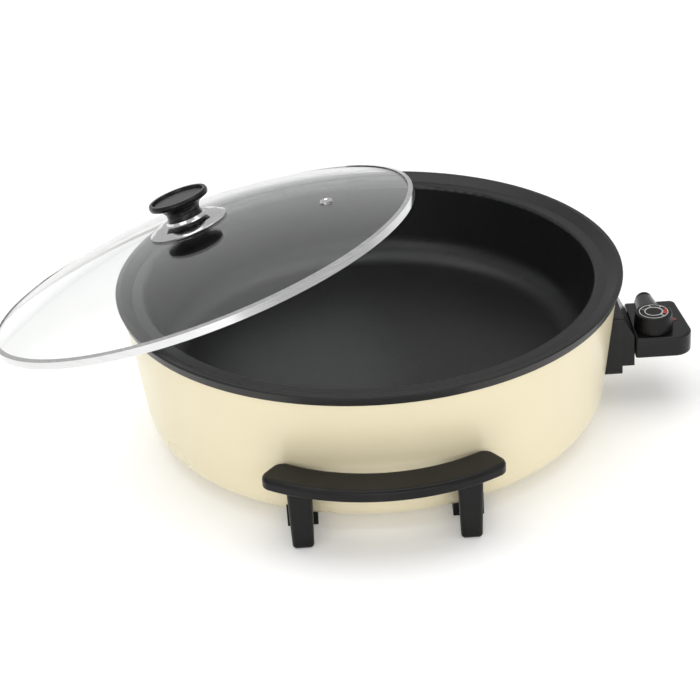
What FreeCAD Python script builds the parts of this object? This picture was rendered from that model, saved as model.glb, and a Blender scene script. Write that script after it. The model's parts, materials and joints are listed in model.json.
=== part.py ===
import FreeCAD, Part
import math
import os

import Sketcher
from FreeCAD import Vector

# Electric skillet: a deep round non-stick pan in a painted cool wall, on two handle stands,
# with a plug-in heat control at its right and a loose domed glass lid leaning on its left rim.
# Origin: on the ground under the pan's axis. +Z up, +X towards the heat control, -Y the front.

doc = FreeCAD.newDocument("skillet")
sheet = doc.addObject("Spreadsheet::Sheet", "Sizes")

SIZES = [
    # Pan and its rim
    ("rim_radius", 200.0, "outer radius of the black rim"),
    ("rim_height", 125.0, "top of the rim above the ground"),
    ("band_height", 8.5, "outside height of the rim band"),
    ("band_flare", 3.0, "how much narrower the band is at its lower edge"),
    ("lip_width", 4.5, "flat width of the lip round the lid seat"),
    ("lip_slope", 8.5, "how far the slanted lip runs in from the flat lip to the lid ledge"),
    ("seat_drop", 4.5, "depth of the lid ledge below the lip"),
    ("ledge_width", 10.0, "width of the lid ledge"),
    ("pan_wall", 3.0, "wall of the cast pan"),
    ("pan_depth", 70.0, "cooking floor below the rim top"),
    ("pan_draft", 6.0, "how much the wall draws in from the ledge to the floor"),
    ("pan_corner", 22.0, "inner radius between wall and floor"),
    ("ledge_round", 2.5, "rounding of the ledge's inner edge"),
    ("lip_round", 1.2, "rounding of the lip"),
    # Painted outer shell and base
    ("shell_inset", 1.5, "shell top inside the band's lower edge"),
    ("shell_wall", 1.0, "sheet of the shell"),
    ("shell_taper", 13.5, "how much the shell draws in from top to corner"),
    ("shell_corner", 25.0, "radius between shell wall and bottom"),
    ("shell_bottom", 6.0, "underside of the shell above the ground"),
    ("shell_opening", 120.0, "radius of the round opening in the shell's bottom"),
    ("plate_radius", 130.0, "radius of the base plate"),
    ("plate_sheet", 1.2, "sheet of the base plate"),
    ("plate_dish", 3.0, "depth of the dish pressed in the base plate"),
    ("vent_count", 8.0, "vent holes in the base plate"),
    ("vent_radius", 4.0, "radius of a vent hole"),
    ("vent_circle", 70.0, "radius of the circle of vent holes"),
    # Heater under the cooking floor
    ("heater_radius", 105.0, "centre radius of the heater loop"),
    ("heater_tube", 4.0, "radius of the heater tube"),
    ("heater_gap_angle", 12.0, "angle left open at the heater's ends"),
    ("spreader_radius", 128.0, "radius of the clamp plate under the heater"),
    ("spreader_hole", 40.0, "radius of the hole in the clamp plate"),
    ("spreader_sheet", 2.0, "sheet of the clamp plate"),
    ("stud_radius", 3.0, "radius of a stud under the pan"),
    ("stud_circle", 62.0, "radius of the circle of studs"),
    ("stud_count", 4.0, "studs under the pan"),
    ("nut_radius", 5.5, "corner radius of a hexagon nut"),
    ("nut_height", 4.5, "height of a nut"),
    # Handle stands
    ("bar_tuck", 2.0, "how far the middle of the bar tucks in under the rim"),
    ("bar_inner", 127.0, "inner radius of the bar's arc"),
    ("bar_depth", 28.0, "depth of the bar, wall side to front"),
    ("bar_half", 84.0, "half the bar's length, on the middle of its arc"),
    ("bar_top", 62.5, "top of the bar above the ground"),
    ("bar_thick", 9.0, "thickness of the bar"),
    ("bar_end_round", 9.5, "rounding of the bar's ends"),
    ("bar_top_round", 3.5, "rounding of the bar's top edge"),
    ("leg_offset", 62.0, "legs left and right of the middle"),
    ("leg_stand_off", 13.0, "middle of a leg in front of the shell's foot"),
    ("leg_width", 19.0, "width of a leg at its top"),
    ("leg_depth", 12.0, "depth of a leg at its top"),
    ("leg_slope", 1.6, "draft angle of a leg"),
    ("leg_round", 3.2, "rounding of a leg's edges"),
    ("toe_set_back", 27.0, "middle of the inner toe behind the shell's foot"),
    ("toe_width", 23.0, "width of the inner toe"),
    ("toe_depth", 24.0, "depth of the inner toe"),
    ("screw_set_back", 34.0, "stand screw behind the shell's foot"),
    ("arm_width", 10.0, "width of the web from leg to toe"),
    ("arm_rise", 3.0, "underside of the web above the ground"),
    ("arm_top", 38.0, "top of the web where it meets the leg"),
    ("stand_gap", 0.3, "play between a stand and the shell"),
    ("screw_radius", 2.0, "shank radius of a housing screw"),
    ("screw_head", 3.8, "head radius of a housing screw"),
    ("screw_fit", 0.05, "play round a screw's shank"),
    # Socket housing on the wall
    ("socket_half", 27.0, "half width of the socket's flange"),
    ("socket_low", 32.0, "bottom of the flange above the ground"),
    ("socket_high", 83.0, "top of the flange above the ground"),
    ("flange_stand_off", 2.5, "outer face of the flange beyond the shell's top"),
    ("block_depth", 10.0, "how far the socket block stands out from the flange"),
    ("block_low", 38.5, "bottom of the socket block"),
    ("block_half", 24.0, "half width of the socket block"),
    ("block_wall", 3.0, "wall of the socket block"),
    ("cavity_stand_off", 8.5, "inner end of the socket's cavity beyond the shell's foot"),
    # Heat control
    ("control_gap", 0.4, "play between the control and the socket"),
    ("control_low", 46.5, "underside of the control"),
    ("control_high", 64.0, "top face of the control"),
    ("control_split", 55.0, "height of the parting line"),
    ("control_front", 28.0, "front side of the control from the probe's line"),
    ("control_back", 36.0, "back side of the control from the probe's line"),
    ("control_length", 48.0, "length of the control outside the socket"),
    ("control_slant", 7.0, "how much shorter the control is at its back"),
    ("control_wall", 2.0, "wall of the control's shells"),
    ("control_nose", 14.0, "rounding of the outer front corner"),
    ("control_corner", 5.0, "rounding of the outer back corner"),
    ("control_edge", 1.6, "rounding of the control's top and bottom edges"),
    ("control_screw_grip", 4.8, "how far a control screw reaches above the parting line"),
    ("control_screw_sink", 3.2, "radius of the sink for a control screw's head"),
    ("control_screw_head", 2.9, "head radius of a control screw"),
    ("inlet_lift", 1.5, "lower edge of the control's inner opening above the probe's line"),
    ("hump_radius", 12.0, "radius of the cord hump where it leaves the dial"),
    ("hump_small", 8.0, "radius of the cord hump at its back end"),
    ("hump_height", 62.5, "axis of the cord hump above the ground"),
    ("hump_gap", 1.0, "space between the dial and the cord hump"),
    ("gland_radius", 5.5, "outer radius of the cord gland"),
    ("gland_bore", 3.4, "bore of the cord gland"),
    ("gland_length", 12.0, "length of the cord gland"),
    ("sensor_radius", 2.5, "radius of the sensor tube"),
    ("sensor_reach", 118.0, "inner end of the sensor tube from the pan's axis"),
    ("well_wall", 1.2, "wall of the sensor well under the pan"),
    ("well_play", 0.3, "play round the sensor tube"),
    ("pin_radius", 2.0, "radius of a contact pin"),
    ("pin_set_in", 3.0, "inner end of the contact pins inside the pan's floor radius"),
    ("earth_rise", 8.5, "earth pin above the power pins"),
    ("pin_recess", 2.0, "outer end of the contact pins behind the block's face"),
    ("sleeve_wall", 0.8, "wall of a contact sleeve"),
    ("sleeve_play", 0.25, "play between pin and sleeve"),
    ("sleeve_depth", 12.0, "how far a sleeve covers its pin"),
    # Dial
    ("dial_stand_off", 17.0, "dial's axis beyond the socket block"),
    ("dial_y", -9.6, "dial's axis from the probe's line"),
    ("dial_radius", 15.5, "radius of the dial's skirt"),
    ("dial_top_radius", 14.6, "radius of the dial's top"),
    ("dial_height", 14.5, "height of the dial above the control"),
    ("dial_play", 0.3, "play between dial and control"),
    ("dial_skirt", 3.0, "height of the dial's plain skirt"),
    ("dial_rib_count", 24.0, "grip flutes round the dial"),
    ("dial_rib", 0.7, "radius of a grip flute"),
    ("face_radius", 11.8, "radius of the dial's printed face"),
    ("face_thick", 0.8, "thickness of the dial's printed face"),
    ("shaft_radius", 3.0, "radius of the dial's spindle"),
    ("shaft_fit", 0.08, "running play round the spindle"),
    ("shaft_seat", 0.02, "play between the spindle and the knob's bore"),
    ("lens_radius", 2.6, "radius of the lamp's lens"),
    ("lens_stand_off", 35.0, "lens beyond the socket block"),
    ("lens_y", 2.0, "lens from the probe's line"),
    # Lid, in its own frame: origin at the middle of the band's lower edge
    ("lid_play", 3.0, "gap between the seated lid's band and the slanted lip"),
    ("lid_band", 6.0, "height of the lid's band"),
    ("lid_sheet", 0.6, "sheet of the lid's band"),
    ("lid_hem", 3.5, "how far the band folds over the glass"),
    ("glass_thick", 4.0, "thickness of the glass"),
    ("glass_rise", 37.0, "top of the glass above the band's lower edge"),
    ("glass_play", 0.05, "gap between the glass and the band"),
    ("vent_reach", 118.0, "steam vent from the lid's middle"),
    ("vent_angle", -12.0, "direction of the steam vent on the lid"),
    ("vent_hole", 2.6, "radius of the steam hole"),
    ("vent_flange", 5.0, "radius of the vent's rolled edge"),
    ("knob_base_radius", 33.0, "radius of the polished plate under the knob"),
    ("knob_base_height", 5.0, "height of the polished plate"),
    ("ring_radius", 17.0, "radius of the polished ring under the knob"),
    ("ring_height", 2.0, "height of the polished ring"),
    ("knob_neck", 13.5, "radius of the knob's neck"),
    ("knob_radius", 25.5, "radius of the knob's rim"),
    ("knob_height", 20.0, "knob's rim above the polished plate"),
    ("knob_dish", 3.0, "depth of the dish in the knob's top"),
    ("bolt_radius", 3.0, "radius of the lid bolt"),
    ("bolt_play", 0.3, "play of the bolt in glass and plate"),
    ("washer_radius", 12.0, "radius of the soft washer under the glass"),
    ("washer_thick", 1.5, "thickness of the soft washer"),
    ("lid_shift", 151.0, "lid's middle from the pan's axis"),
    ("lid_toward", 153.0, "direction of that shift, and of the lid's lean"),
    ("lid_rest", 0.2, "play between the leaning lid and the rim it lies on"),
]


class Size:
    """A number together with the spreadsheet expression that gives it."""

    def __init__(self, text, value):
        self.text = text
        self.value = float(value)

    def join(self, other, sign, result):
        text = other.text if isinstance(other, Size) else repr(float(other))
        return Size("(%s %s %s)" % (self.text, sign, text), result)

    def __add__(self, other):
        return self.join(other, "+", self.value + number(other))

    def __sub__(self, other):
        return self.join(other, "-", self.value - number(other))

    def __mul__(self, other):
        return self.join(other, "*", self.value * number(other))

    def __truediv__(self, other):
        return self.join(other, "/", self.value / number(other))

    def __neg__(self):
        return Size("(0 - %s)" % self.text, -self.value)


def number(size):
    return size.value if isinstance(size, Size) else float(size)


def plain(value):
    return Size(repr(float(value)), value)


def root(size):
    return Size("sqrt(%s)" % size.text, math.sqrt(size.value))


def sine(size):
    return Size("sin(%s)" % size.text, math.sin(math.radians(size.value)))


def cosine(size):
    return Size("cos(%s)" % size.text, math.cos(math.radians(size.value)))


def fill_sheet():
    """Write every driving size to the sheet and hand them back by name."""
    named = {}
    for row, (word, value, note) in enumerate(SIZES, start=1):
        sheet.set("A%d" % row, word)
        sheet.set("B%d" % row, repr(value))
        sheet.set("C%d" % row, note)
        sheet.setAlias("B%d" % row, word)
        named[word] = Size("Sizes." + word, value)
    doc.recompute()
    return named


class Named:
    """The sizes by name, those of the list and those that follow from them."""

    def __init__(self, table):
        self.__dict__.update(table)

    def follow(self, word, size, note):
        """Write a size that follows from others to the sheet as a formula."""
        row = len(self.__dict__) + 1
        sheet.set("A%d" % row, word)
        sheet.set("B%d" % row, "=" + size.text.replace("Sizes.", ""))
        sheet.set("C%d" % row, note)
        sheet.setAlias("B%d" % row, word)
        doc.recompute()
        self.__dict__[word] = Size("Sizes." + word, size.value)


s = Named(fill_sheet())
ZERO = plain(0)
parts = []


def bind(obj, name, size):
    obj.setExpression(name, size.text)


def new_body(label, kept=True):
    body = doc.addObject("PartDesign::Body", label)
    body.Label = label
    if kept:
        parts.append(body)
    return body


def plane_of(body, role):
    return [f for f in body.Origin.OriginFeatures if f.Role == role][0]


def outline(body, role, corners, height=None):
    """Closed outline of straight sides in an origin plane, every corner bound to the sheet."""
    sketch = body.newObject("Sketcher::SketchObject", body.Label + "_outline")
    sketch.AttachmentSupport = (plane_of(body, role), [""])
    sketch.MapMode = "FlatFace"
    if height is not None:
        bind(sketch, "AttachmentOffset.Base.z", height)
    add_loop(sketch, corners)
    return sketch


def add_loop(sketch, corners):
    first = sketch.GeometryCount
    count = len(corners)
    ends = [Vector(number(a), number(b), 0) for a, b in corners]
    for i in range(count):
        sketch.addGeometry(Part.LineSegment(ends[i], ends[(i + 1) % count]))
    for i in range(count):
        following = first + (i + 1) % count
        sketch.addConstraint(Sketcher.Constraint("Coincident", first + i, 2, following, 1))
    for i, (across, up) in enumerate(corners):
        for kind, size in (("DistanceX", across), ("DistanceY", up)):
            rule = Sketcher.Constraint(kind, -1, 1, first + i, 1, number(size))
            index = sketch.addConstraint(rule)
            if isinstance(size, Size):
                bind(sketch, "Constraints[%d]" % index, size)


def add_circle(sketch, across, up, radius):
    circle = Part.Circle(Vector(number(across), number(up), 0), Vector(0, 0, 1), number(radius))
    index = sketch.addGeometry(circle)
    for kind, size in (("DistanceX", across), ("DistanceY", up)):
        rule = sketch.addConstraint(Sketcher.Constraint(kind, -1, 1, index, 3, number(size)))
        bind(sketch, "Constraints[%d]" % rule, size)
    rule = sketch.addConstraint(Sketcher.Constraint("Radius", index, number(radius)))
    bind(sketch, "Constraints[%d]" % rule, radius)


def circles(body, role, rings, height=None):
    """A sketch of whole circles, each (across, up, radius)."""
    sketch = body.newObject("Sketcher::SketchObject", body.Label + "_rings")
    sketch.AttachmentSupport = (plane_of(body, role), [""])
    sketch.MapMode = "FlatFace"
    if height is not None:
        bind(sketch, "AttachmentOffset.Base.z", height)
    for across, up, radius in rings:
        add_circle(sketch, across, up, radius)
    return sketch


def turn(body, corners, cut=False):
    """Revolve an outline in the XZ plane about the body's Z axis."""
    sketch = outline(body, "XZ_Plane", corners)
    kind = "PartDesign::Groove" if cut else "PartDesign::Revolution"
    solid = body.newObject(kind, body.Label + ("_groove" if cut else "_turned"))
    solid.Profile = sketch
    solid.ReferenceAxis = (sketch, ["V_Axis"])
    solid.Angle = 360.0
    sketch.Visibility = False
    doc.recompute()
    return solid


def raise_up(body, sketch, length, down=False, both=False, taper=None):
    pad = body.newObject("PartDesign::Pad", body.Label + "_pad")
    pad.Profile = sketch
    bind(pad, "Length", length)
    pad.Reversed = down
    if both:
        pad.SideType = "Symmetric"
    if taper is not None:
        bind(pad, "TaperAngle", taper)
    sketch.Visibility = False
    doc.recompute()
    return pad


def cut_down(body, sketch, length, up=False, both=False):
    before = body.Shape.Volume
    pocket = body.newObject("PartDesign::Pocket", body.Label + "_cut")
    pocket.Profile = sketch
    bind(pocket, "Length", length)
    pocket.Reversed = up
    if both:
        pocket.SideType = "Symmetric"
    sketch.Visibility = False
    doc.recompute()
    if not body.Shape.Volume < before - 1e-6:
        raise RuntimeError(body.Label + ": the cut removed nothing")
    return pocket


def edges_where(shape, wanted):
    return ["Edge%d" % (i + 1) for i, edge in enumerate(shape.Edges) if wanted(edge)]


def round_edges(body, wanted, radius, kind="PartDesign::Fillet"):
    base = body.Tip
    names = edges_where(base.Shape, wanted)
    if not names:
        raise RuntimeError(body.Label + ": no edge to round")
    fillet = body.newObject(kind, body.Label + "_round")
    fillet.Base = (base, names)
    bind(fillet, "Radius" if kind.endswith("Fillet") else "Size", radius)
    doc.recompute()
    return fillet


def ring_edge(radius, height, near=0.05):
    """Test for a circular edge about the Z axis at a radius and height."""
    def wanted(edge):
        if not isinstance(edge.Curve, Part.Circle):
            return False
        centre = edge.Curve.Center
        level = abs(centre.z - number(height)) < near and math.hypot(centre.x, centre.y) < near
        return level and abs(edge.Curve.Radius - number(radius)) < near
    return wanted


def upright(edge):
    """Test for a straight edge that runs nearly along Z."""
    if len(edge.Vertexes) < 2:
        return False
    run = edge.Vertexes[-1].Point.sub(edge.Vertexes[0].Point)
    return run.Length > 1.0 and abs(run.z) > 0.97 * run.Length


def at_height(height, near=0.05):
    def wanted(edge):
        box = edge.BoundBox
        return abs(box.ZMin - number(height)) < near and abs(box.ZMax - number(height)) < near
    return wanted


def place(obj, x=ZERO, y=ZERO, z=ZERO, axis=None, angle=None):
    for name, size in (("x", x), ("y", y), ("z", z)):
        bind(obj, "Placement.Base." + name, size)
    if angle is not None:
        for name, size in zip("xyz", axis):
            bind(obj, "Placement.Rotation.Axis." + name, size)
        bind(obj, "Placement.Rotation.Angle", angle)


# Sizes that several pieces share
band_low = s.rim_height - s.band_height
ledge_top = s.rim_height - s.seat_drop
floor_top = s.rim_height - s.pan_depth
floor_low = floor_top - s.pan_wall
shell_top_radius = s.rim_radius - s.band_flare - s.shell_inset
shell_low_radius = shell_top_radius - s.shell_taper
s.follow("seat_radius", s.rim_radius - s.lip_width - s.lip_slope, "outer edge of the lid ledge")
s.follow("ledge_inner", s.seat_radius - s.ledge_width, "inner radius of the lid ledge")
s.follow("floor_radius", s.ledge_inner - s.pan_draft, "inner radius of the wall at the floor")
s.follow("bar_centre", s.rim_radius - s.bar_inner - s.bar_tuck, "middle of the bar's arc in front")
s.follow("leg_front", shell_low_radius + s.leg_stand_off, "middle of a leg in front")
s.follow("toe_front", shell_low_radius - s.toe_set_back, "middle of an inner toe in front")
s.follow("toe_screw", shell_low_radius - s.screw_set_back, "stand screw in front")
s.follow("socket_face", shell_top_radius + s.flange_stand_off, "outer face of the flange")
s.follow("block_face", s.socket_face + s.block_depth, "outer face of the socket block")
s.follow("socket_base", shell_low_radius + s.cavity_stand_off, "inner end of the socket's cavity")
s.follow("control_end", s.block_face + s.control_length, "outer end of the control")
s.follow("pin_root", s.floor_radius - s.pin_set_in, "inner end of the contact pins")
s.follow("pin_reach", s.block_face - s.pin_recess, "outer end of the contact pins")
s.follow("dial_x", s.block_face + s.dial_stand_off, "dial's axis")
s.follow("lens_x", s.block_face + s.lens_stand_off, "lens")
s.follow("lid_radius", s.seat_radius - s.lid_play, "outer radius of the lid's band")
shell_corner_top = s.shell_bottom + s.shell_corner
probe_height = floor_low - s.heater_tube
pin_spread = s.heater_radius * sine(s.heater_gap_angle / 2)


def make_pan():
    """Cast non-stick pan whose rim carries the lid ledge, the lip and the outer band."""
    body = new_body("inner_pan")
    inside = shell_top_radius + s.stand_gap
    flange_low = ledge_top - s.pan_wall
    turn(body, [
        (ZERO, floor_top),
        (s.floor_radius, floor_top),
        (s.ledge_inner, ledge_top),
        (s.seat_radius, ledge_top),
        (s.rim_radius - s.lip_width, s.rim_height),
        (s.rim_radius, s.rim_height),
        (s.rim_radius - s.band_flare, band_low),
        (inside, band_low),
        (inside, flange_low),
        (s.ledge_inner + s.pan_wall, flange_low),
        (s.floor_radius + s.pan_wall, floor_low),
        (ZERO, floor_low),
    ])
    round_edges(body, ring_edge(s.floor_radius, floor_top), s.pan_corner)
    round_edges(body, ring_edge(s.floor_radius + s.pan_wall, floor_low), s.pan_corner + s.pan_wall)
    round_edges(body, ring_edge(s.ledge_inner, ledge_top), s.ledge_round)
    round_edges(body, ring_edge(s.rim_radius, s.rim_height), s.lip_round)
    round_edges(body, ring_edge(s.rim_radius - s.lip_width, s.rim_height), s.lip_round)
    return body


def shell_outline(gap=ZERO):
    """Outer surface of the painted shell, moved outwards by a gap, from its top down and in."""
    return [
        (shell_top_radius + gap, ledge_top - s.pan_wall),
        (shell_low_radius + gap, s.shell_bottom - gap),
    ]


def make_shell():
    """Painted sheet wall: drawn cup with an open bottom, a window for the socket and screw holes."""
    body = new_body("outer_shell")
    top, low = shell_outline()
    turn(body, [
        top,
        low,
        (s.shell_opening, s.shell_bottom),
        (s.shell_opening, s.shell_bottom + s.shell_wall),
        (low[0] - s.shell_wall, s.shell_bottom + s.shell_wall),
        (top[0] - s.shell_wall, top[1]),
    ])
    round_edges(body, ring_edge(*low), s.shell_corner)
    inner = ring_edge(low[0] - s.shell_wall, s.shell_bottom + s.shell_wall)
    round_edges(body, inner, s.shell_corner - s.shell_wall)
    half = s.block_half - s.block_wall * 2
    low_side = s.block_low + s.block_wall
    window = outline(body, "YZ_Plane", rectangle(-half, half, low_side, s.control_high - s.block_wall))
    cut_down(body, window, s.rim_radius, up=True)
    spots = [(x, y, s.screw_radius + s.screw_fit) for x, y in stand_screw_spots()]
    cut_down(body, circles(body, "XY_Plane", spots), s.shell_bottom + s.shell_corner, up=True)
    return body


def rectangle(left, right, low, high):
    return [(left, low), (right, low), (right, high), (left, high)]


def stand_screw_spots():
    spots = []
    for side in (-1, 1):
        for end in (-1, 1):
            spots.append((s.leg_offset * side, s.toe_screw * end))
    return spots


def on_circle(count, radius, start=0.0):
    """Evenly spaced points on a circle about the origin."""
    points = []
    for i in range(int(round(number(count)))):
        turned = plain(start + i) * 360 / count
        points.append((radius * cosine(turned), radius * sine(turned)))
    return points


def make_base_plate():
    """Dished sheet that closes the shell's bottom, with vent holes and holes for the studs."""
    body = new_body("base_plate")
    low = s.shell_bottom - s.plate_sheet
    dish = s.shell_opening - s.plate_dish
    flat = dish - s.plate_dish
    turn(body, [
        (ZERO, low + s.plate_dish),
        (flat, low + s.plate_dish),
        (dish, low),
        (s.plate_radius, low),
        (s.plate_radius, s.shell_bottom),
        (dish - s.plate_sheet / 2, s.shell_bottom),
        (flat - s.plate_sheet / 2, s.shell_bottom + s.plate_dish),
        (ZERO, s.shell_bottom + s.plate_dish),
    ])
    spots = on_circle(s.vent_count, s.vent_circle + s.vent_radius, 0.25)
    holes = [(x, y, s.vent_radius) for x, y in spots]
    stud_hole = s.stud_radius + s.bolt_play
    holes += [(x, y, stud_hole) for x, y in on_circle(s.stud_count, s.stud_circle, 0.5)]
    cut_down(body, circles(body, "XY_Plane", holes), s.shell_bottom + s.shell_corner, up=True)
    return body


def make_heater():
    """Tube heater: nearly a full loop, its two cold ends running out to the contact pins."""
    loop = doc.addObject("Part::Torus", "heater_loop")
    bind(loop, "Radius1", s.heater_radius)
    bind(loop, "Radius2", s.heater_tube)
    bind(loop, "Angle3", plain(360) - s.heater_gap_angle)
    place(loop, z=probe_height, axis=(ZERO, ZERO, plain(1)), angle=s.heater_gap_angle / 2)
    start = s.heater_radius * cosine(s.heater_gap_angle / 2)
    pieces = [loop]
    for side in (-1, 1):
        end = doc.addObject("Part::Cylinder", "heater_end")
        bind(end, "Radius", s.heater_tube)
        bind(end, "Height", s.pin_root - start)
        place(end, start, pin_spread * side, probe_height, (ZERO, plain(1), ZERO), plain(90))
        knee = doc.addObject("Part::Sphere", "heater_knee")
        bind(knee, "Radius", s.heater_tube)
        place(knee, start, pin_spread * side, probe_height)
        pieces += [end, knee]
    return fused("heating_element", pieces)


def fused(label, pieces):
    fuse = doc.addObject("Part::MultiFuse", label)
    fuse.Label = label
    fuse.Shapes = pieces
    parts.append(fuse)
    doc.recompute()
    return fuse


def make_clamp_plate():
    body = new_body("heater_clamp_plate")
    top = probe_height - s.heater_tube
    low = top - s.spreader_sheet
    turn(body, rectangle(s.spreader_hole, s.spreader_radius, low, top))
    spots = [(x, y, s.stud_radius + s.bolt_play) for x, y in on_circle(s.stud_count, s.stud_circle, 0.5)]
    cut_down(body, circles(body, "XY_Plane", spots), floor_low, up=True)
    return body


def rods(label, spots, radius, low, high):
    """A group of separate upright rods, one node."""
    body = []
    for x, y in spots:
        rod = doc.addObject("Part::Cylinder", label + "_one")
        bind(rod, "Radius", radius)
        bind(rod, "Height", high - low)
        place(rod, x, y, low)
        body.append(rod)
    return grouped(label, body)


def grouped(label, pieces):
    group = doc.addObject("Part::Compound", label)
    group.Label = label
    group.Links = pieces
    parts.append(group)
    doc.recompute()
    return group


def make_studs_and_nuts():
    spots = on_circle(s.stud_count, s.stud_circle, 0.5)
    plate_low = s.shell_bottom - s.plate_sheet + s.plate_dish
    rods("pan_studs", spots, s.stud_radius, plate_low - s.nut_height, floor_low)
    clamp_low = probe_height - s.heater_tube - s.spreader_sheet
    for label, low in (("clamp_nuts", clamp_low - s.nut_height), ("base_nuts", plate_low - s.nut_height)):
        nuts = []
        for x, y in spots:
            block = doc.addObject("Part::Prism", label + "_block")
            block.Polygon = 6
            bind(block, "Circumradius", s.nut_radius)
            bind(block, "Height", s.nut_height)
            place(block, x, y, low)
            bore = doc.addObject("Part::Cylinder", label + "_bore")
            bind(bore, "Radius", s.stud_radius)
            bind(bore, "Height", s.nut_height)
            place(bore, x, y, low)
            nut = doc.addObject("Part::Cut", label + "_one")
            nut.Base = block
            nut.Tool = bore
            nuts.append(nut)
        grouped(label, nuts)


def arc_band(body, role, middle, radii, starts, ends, side, height=None):
    """Closed outline between two arcs about one centre on the sketch's upright axis.

    side is 1 for arcs above the centre and -1 below; starts and ends give the across position
    of each arc's ends, counter-clockwise, the outer arc first.
    """
    sketch = body.newObject("Sketcher::SketchObject", body.Label + "_arcs")
    sketch.AttachmentSupport = (plane_of(body, role), [""])
    sketch.MapMode = "FlatFace"
    if height is not None:
        bind(sketch, "AttachmentOffset.Base.z", height)
    centre = Vector(0, number(middle), 0)

    def point(radius, across):
        angle = side * math.acos(number(across) / number(radius))
        return angle, centre + Vector(math.cos(angle), math.sin(angle), 0) * number(radius)

    (a0, p0), (a1, p1) = point(radii[0], starts[0]), point(radii[0], ends[0])
    (b0, q0), (b1, q1) = point(radii[1], starts[1]), point(radii[1], ends[1])
    up = Vector(0, 0, 1)
    sketch.addGeometry(Part.ArcOfCircle(Part.Circle(centre, up, number(radii[0])), a0, a1))
    sketch.addGeometry(Part.LineSegment(p1, q1))
    sketch.addGeometry(Part.ArcOfCircle(Part.Circle(centre, up, number(radii[1])), b0, b1))
    sketch.addGeometry(Part.LineSegment(q0, p0))
    for joined in ((0, 2, 1, 1), (1, 2, 2, 2), (2, 1, 3, 1), (3, 2, 0, 1), (0, 3, 2, 3)):
        sketch.addConstraint(Sketcher.Constraint("Coincident", *joined))
    rules = [("DistanceX", 0, 3, ZERO), ("DistanceY", 0, 3, middle)]
    rules += [("DistanceX", 0, 1, starts[0]), ("DistanceX", 0, 2, ends[0])]
    rules += [("DistanceX", 2, 1, starts[1]), ("DistanceX", 2, 2, ends[1])]
    for kind, edge, spot, size in rules:
        index = sketch.addConstraint(Sketcher.Constraint(kind, -1, 1, edge, spot, number(size)))
        bind(sketch, "Constraints[%d]" % index, size)
    for edge, size in ((0, radii[0]), (2, radii[1])):
        index = sketch.addConstraint(Sketcher.Constraint("Radius", edge, number(size)))
        bind(sketch, "Constraints[%d]" % index, size)
    return sketch


def make_stand(label, turned):
    """Handle that is also a stand: curved grip bar, two legs, webs and toes under the shell."""
    body = new_body(label + "_blank", kept=False)
    outer = s.bar_inner + s.bar_depth
    middle = s.bar_inner + s.bar_depth / 2
    under = s.bar_top - s.bar_thick
    reach = [s.bar_half * outer / middle, s.bar_half * s.bar_inner / middle]
    bar = arc_band(body, "XY_Plane", -s.bar_centre, (outer, s.bar_inner),
                   [-reach[0], -reach[1]], reach, -1, height=under)
    raise_up(body, bar, s.bar_thick)
    round_edges(body, upright, s.bar_end_round)
    round_edges(body, at_height(s.bar_top), s.bar_top_round)
    round_edges(body, at_height(under), s.lip_round)
    legs = outline(body, "XY_Plane", leg_corners(-1), height=under + 1)
    add_loop(legs, leg_corners(1))
    raise_up(body, legs, under + 1, down=True, taper=-s.leg_slope)

    def leg_edge(edge):
        return upright(edge) and edge.BoundBox.ZMin < 1e-3
    round_edges(body, leg_edge, s.leg_round)
    round_edges(body, at_height(0), s.leg_round)
    for width, near, far, low, top in (
            (s.arm_width, s.toe_front, s.leg_front, s.arm_rise, s.arm_top),
            (s.toe_width, s.toe_front - s.toe_depth / 2, s.toe_front + s.toe_depth / 2, ZERO, s.arm_top)):
        feet = outline(body, "XY_Plane", side_box(-1, width, near, far), height=low)
        add_loop(feet, side_box(1, width, near, far))
        raise_up(body, feet, top - low)
    spots = [(s.leg_offset * side, -s.toe_screw) for side in (-1, 1)]
    holes = [(x, y, s.screw_radius + s.screw_fit) for x, y in spots]
    cut_down(body, circles(body, "XY_Plane", holes), s.shell_corner, up=True)
    sinks = [(x, y, s.screw_head + s.stand_gap) for x, y in spots]
    cut_down(body, circles(body, "XY_Plane", sinks), s.arm_rise, up=True)
    stand = carved(label, body, shell_space)
    place(stand, axis=(ZERO, ZERO, plain(1)), angle=plain(turned))
    return stand


def leg_corners(side):
    half = s.leg_width / 2
    deep = s.leg_depth / 2
    middle = s.leg_offset * side
    return rectangle(middle - half, middle + half, -s.leg_front - deep, -s.leg_front + deep)


def side_box(side, width, near, far):
    middle = s.leg_offset * side
    return rectangle(middle - width / 2, middle + width / 2, -far, -near)


def make_shell_space():
    """The room the shell takes up, with its play: what sits on the shell is cut to this."""
    body = new_body("shell_space", kept=False)
    top, low = shell_outline(s.stand_gap)
    high = s.rim_height * 2
    turn(body, [low, top, (top[0], high), (ZERO, high), (ZERO, low[1])])
    round_edges(body, ring_edge(*low), s.shell_corner + s.stand_gap)
    return body


def carved(label, blank, tool):
    """Cut one solid by another and keep the result as a piece."""
    cut = doc.addObject("Part::Cut", label)
    cut.Label = label
    cut.Base = blank
    cut.Tool = tool
    parts.append(cut)
    doc.recompute()
    if not cut.Shape.Volume < blank.Shape.Volume - 1:
        raise RuntimeError(label + ": the cut removed nothing")
    return cut


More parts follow.
